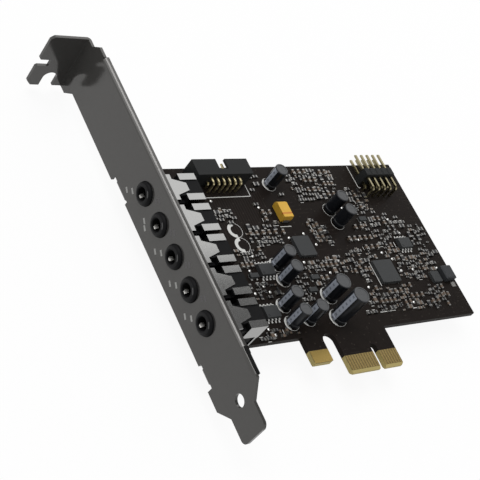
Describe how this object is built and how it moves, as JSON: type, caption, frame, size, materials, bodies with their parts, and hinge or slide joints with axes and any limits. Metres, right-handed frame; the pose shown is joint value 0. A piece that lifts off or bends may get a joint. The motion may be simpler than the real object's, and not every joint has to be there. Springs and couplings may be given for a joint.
{
  "type": "pci express sound card",
  "caption": "Sound card: dark circuit board with a slot connector, pin headers and capacitors, held by lugs to a folded metal bracket with a row of round audio sockets.",
  "frame": {"origin": "middle of the connector's key slot, on the connector's lower edge and the board's component face", "axes": "+X from the bracket to the board's far end, +Y from the connector to the bracket's tab, +Z out of the component face"},
  "size_m": [0.1182, 0.12, 0.0216],
  "materials": {
    "bracket_coat": "matte dark grey plating",
    "board_mask": "satin black-brown solder mask",
    "gold_plate": "satin gold plating",
    "screw_steel": "zinc plated",
    "header_plastic": "matte black moulding",
    "pin_gold": "bright gold plating",
    "moulded_yellow": "satin yellow moulding",
    "chip_epoxy": "matte dark grey moulding",
    "inductor_grey": "matte grey moulding",
    "resistor_black": "dark glaze with tinned ends",
    "capacitor_tan": "tan ceramic with tinned ends",
    "jack_plastic": "satin black moulding",
    "tin_plate": "bright tin plating",
    "can_sleeve": "black sleeve with grey stripe"
  },
  "bodies": {
    "root": {"bracket": "bracket_coat", "board": "board_mask", "edge_fingers": "gold_plate", "hook_pads": "gold_plate", "bracket_screws": "screw_steel", "box_header_shroud": "header_plastic", "box_header_pins": "pin_gold", "open_header_base": "header_plastic", "open_header_pins": "pin_gold", "chip_tantalum": "moulded_yellow", "amplifier_chip_upper": "chip_epoxy", "amplifier_chip_lower": "chip_epoxy", "memory_chip": "chip_epoxy", "controller_chip": "chip_epoxy", "converter_chip": "chip_epoxy", "regulator_chip": "chip_epoxy", "transistor_chips": "chip_epoxy", "inductor": "inductor_grey", "chip_resistors": "resistor_black", "chip_capacitors": "capacitor_tan", "jack_1_housing": "jack_plastic", "jack_1_plate": "tin_plate", "jack_1_contacts": "tin_plate", "jack_2_housing": "jack_plastic", "jack_2_plate": "tin_plate", "jack_2_contacts": "tin_plate", "jack_3_housing": "jack_plastic", "jack_3_plate": "tin_plate", "jack_3_contacts": "tin_plate", "jack_4_housing": "jack_plastic", "jack_4_plate": "tin_plate", "jack_4_contacts": "tin_plate", "jack_5_housing": "jack_plastic", "jack_5_plate": "tin_plate", "jack_5_contacts": "tin_plate", "capacitor_upper_left": "can_sleeve", "capacitor_upper_right": "can_sleeve", "capacitor_middle_right": "can_sleeve", "capacitor_row_a": "can_sleeve", "capacitor_row_b": "can_sleeve", "capacitor_row_c": "can_sleeve", "capacitor_row_d": "can_sleeve", "capacitor_row_e": "can_sleeve", "capacitor_large": "can_sleeve", "capacitor_tall": "can_sleeve"}
  },
  "joints": []
}
